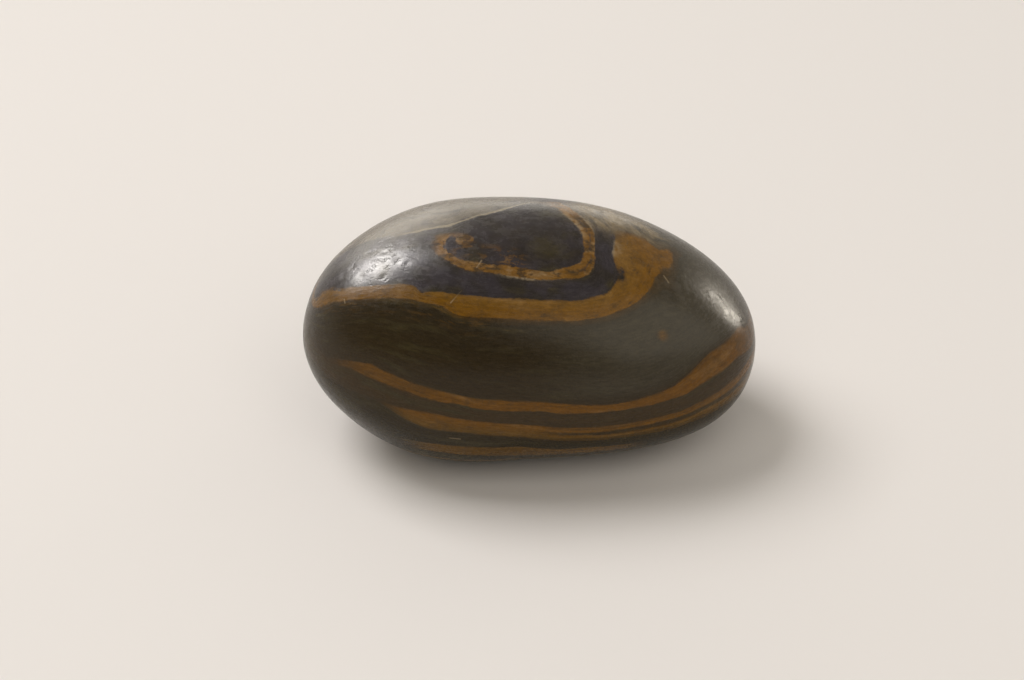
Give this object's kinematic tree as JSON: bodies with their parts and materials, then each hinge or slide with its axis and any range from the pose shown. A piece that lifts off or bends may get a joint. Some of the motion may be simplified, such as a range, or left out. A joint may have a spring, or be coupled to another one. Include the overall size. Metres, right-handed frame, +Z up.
{
  "type": "river pebble",
  "caption": "Smooth, water-worn oval river pebble of dark stone with folded ochre bands, polished, lying on a worn flat.",
  "frame": {"origin": "under the middle of the stone's bounding box, on the surface it lies on", "axes": "+Z up; +X along the stone's length, from its blunt end to its slimmer end; the picture's camera looks along +Y and down"},
  "size_m": [0.0478, 0.0294, 0.0249],
  "materials": {
    "banded_stone": "polished dark brown-grey stone with ochre bands, satin gloss"
  },
  "bodies": {
    "root": {"pebble": "banded_stone"}
  },
  "joints": []
}
